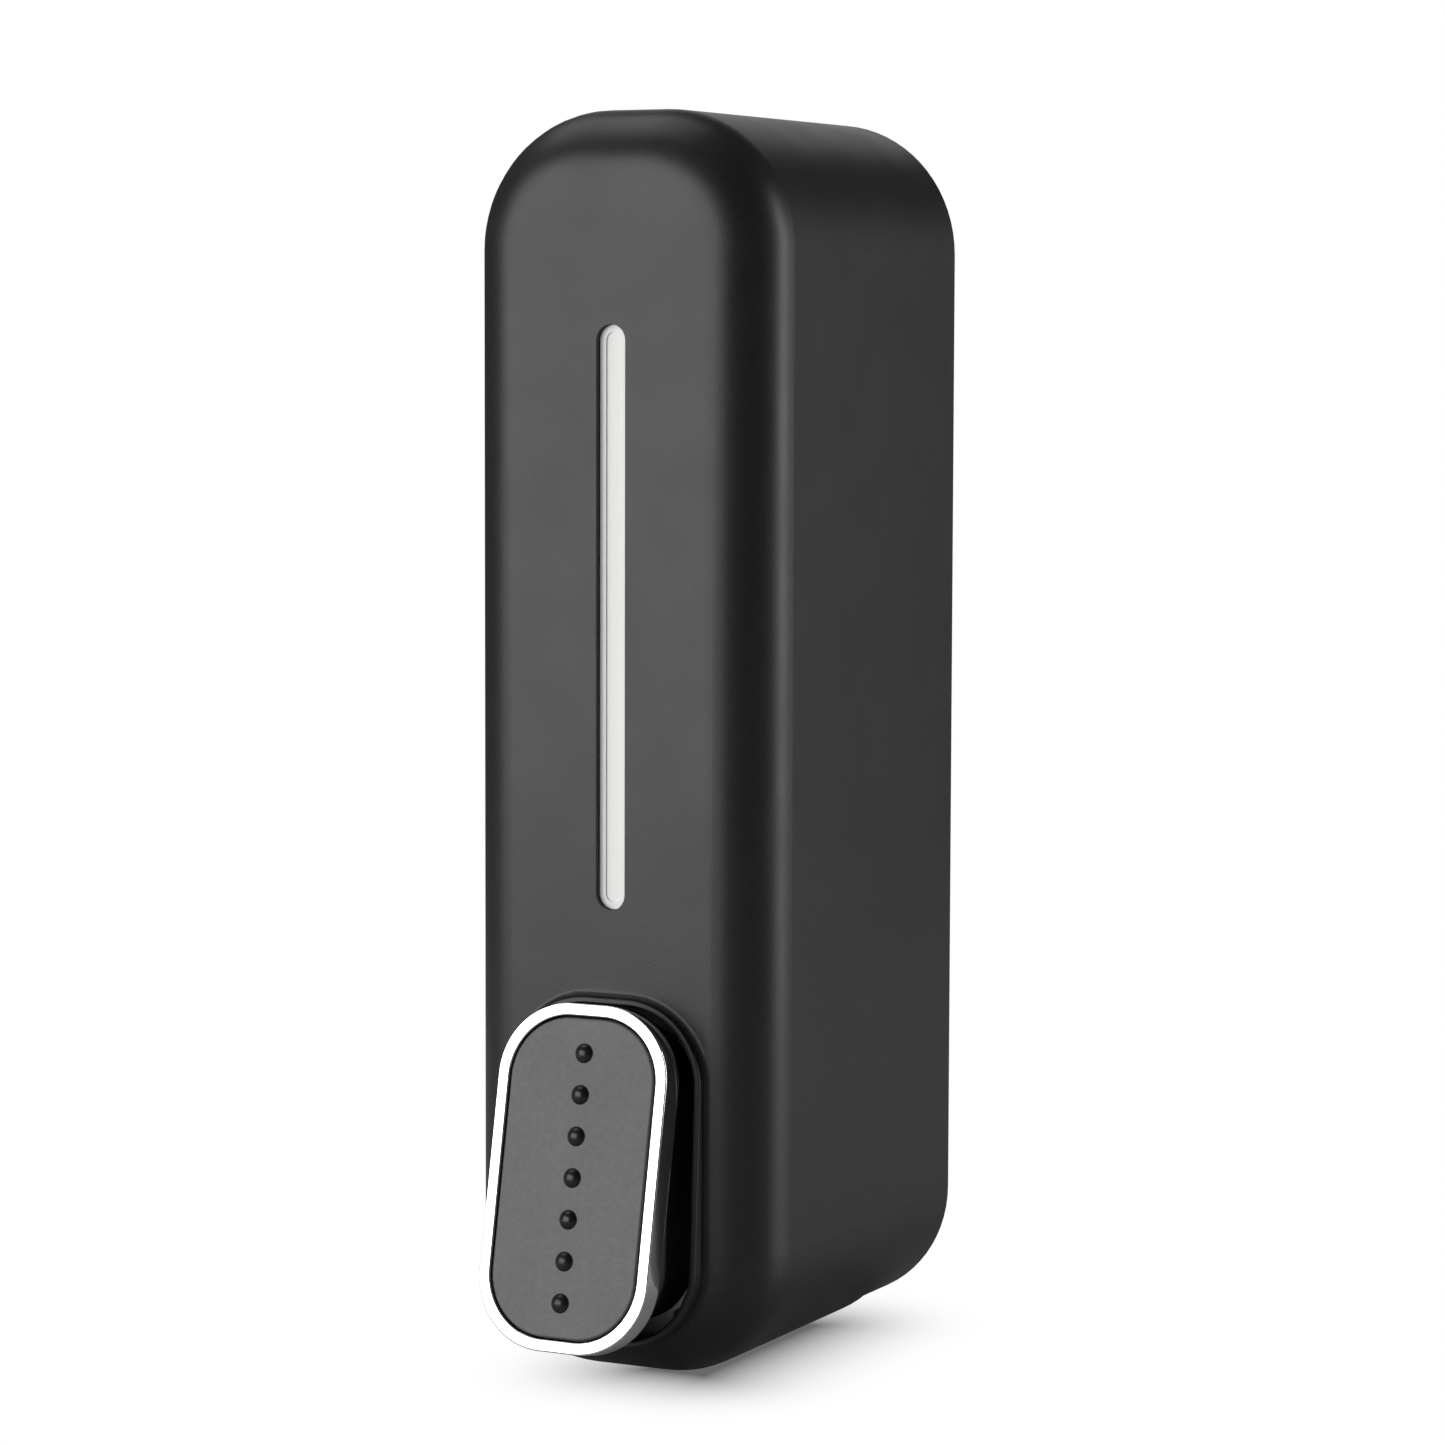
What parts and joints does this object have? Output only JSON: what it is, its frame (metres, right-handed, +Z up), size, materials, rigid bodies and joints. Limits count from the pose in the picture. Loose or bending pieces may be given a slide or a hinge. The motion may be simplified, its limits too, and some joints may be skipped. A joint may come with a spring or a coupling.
{
  "type": "wall mounted soap dispenser",
  "caption": "Tall charcoal wall dispenser with a narrow level window, a ringed push button with raised dots, a hinged cover over a soap tank and a push pump.",
  "frame": {"origin": "centre of the four wall screw holes, on the wall plane", "axes": "+Z up, +X to the right when facing the dispenser, +Y into the wall"},
  "size_m": [0.055, 0.0924, 0.205],
  "materials": {
    "housing": "fine textured satin, charcoal",
    "lens": "milky clear, smooth",
    "lens_frame": "moulded, satin",
    "outlet_plate": "fine textured satin, charcoal",
    "ring": "bright polished",
    "pad": "fine grained grey",
    "studs": "polished dark",
    "lever": "moulded black",
    "steel": "plain drawn steel",
    "back_plate": "moulded grey",
    "spring_steel": "drawn spring wire",
    "tank": "translucent natural plastic",
    "cap": "moulded white",
    "seal": "soft rubber",
    "pump": "moulded white, satin",
    "plunger": "moulded blue, low friction",
    "nozzle": "moulded white, satin",
    "nozzle_tip": "translucent silicone",
    "lock": "nickel plated",
    "zinc": "zinc plated"
  },
  "bodies": {
    "wall_unit": {"back_plate": "back_plate", "hinge_pin": "steel", "tank_clip": "spring_steel", "clip_screws": "zinc", "tank": "tank", "pump_body": "pump", "pump_bush": "pump", "pump_screws": "zinc", "inlet_seat": "pump", "outlet_seal": "seal", "inlet_spring": "spring_steel", "outlet_spring": "spring_steel", "return_spring": "spring_steel", "nozzle": "nozzle", "nozzle_tip": "nozzle_tip"},
    "cover": {"housing": "housing", "window_lens": "lens", "lens_frame": "lens_frame", "outlet_plate": "outlet_plate", "button_pivot_pin": "steel", "lock_body": "lock", "lock_nut": "zinc"},
    "button": {"button_ring": "ring", "button_pad": "pad", "button_studs": "studs", "button_body": "lever"},
    "cap": {"tank_cap": "cap", "cap_seal": "seal"},
    "plunger_unit": {"plunger": "plunger", "piston_seal": "seal"},
    "inlet_valve": {"inlet_ball": "steel"},
    "outlet_valve": {"outlet_ball": "steel"},
    "lock_plug": {"lock_cylinder": "lock", "lock_cam": "zinc", "cam_screw": "zinc"}
  },
  "joints": [
    {"name": "cover_hinge", "type": "hinge", "parent": "wall_unit", "child": "cover", "pos_m": [0, -0.008, -0.0975], "axis": [1, 0, 0], "range_deg": [0, 75]},
    {"name": "button_press", "type": "hinge", "parent": "cover", "child": "button", "pos_m": [0, -0.069, -0.0435], "axis": [1, 0, 0], "range_deg": [0, 7.5], "stiffness_Nm_per_rad": 0.8, "springref_deg": -14.32},
    {"name": "plunger_slide", "type": "slide", "parent": "wall_unit", "child": "plunger_unit", "axis": [0, 1, 0], "range_m": [0, 0.0041], "stiffness_N_per_m": 10, "springref_m": -0.004, "deforming": ["return_spring"]},
    {"name": "cap_turn", "type": "hinge", "parent": "wall_unit", "child": "cap", "pos_m": [0, -0.038, 0.0755], "axis": [0, 0, 1], "range_deg": [0, 60]},
    {"name": "inlet_valve_lift", "type": "slide", "parent": "wall_unit", "child": "inlet_valve", "axis": [0, 0, -1], "range_m": [0, 0.001], "stiffness_N_per_m": 20, "springref_m": -0.001, "deforming": ["inlet_spring"]},
    {"name": "outlet_valve_lift", "type": "slide", "parent": "wall_unit", "child": "outlet_valve", "axis": [0, 0, -1], "range_m": [0, 0.001], "stiffness_N_per_m": 20, "springref_m": -0.001, "deforming": ["outlet_spring"]},
    {"name": "lock_turn", "type": "hinge", "parent": "cover", "child": "lock_plug", "pos_m": [0, -0.02, 0.0975], "axis": [0, 0, 1], "range_deg": [0, 90]}
  ],
  "couplings": [
    {"joint": "plunger_slide", "follows": "button_press", "m_per_rad": 0.0305}
  ]
}
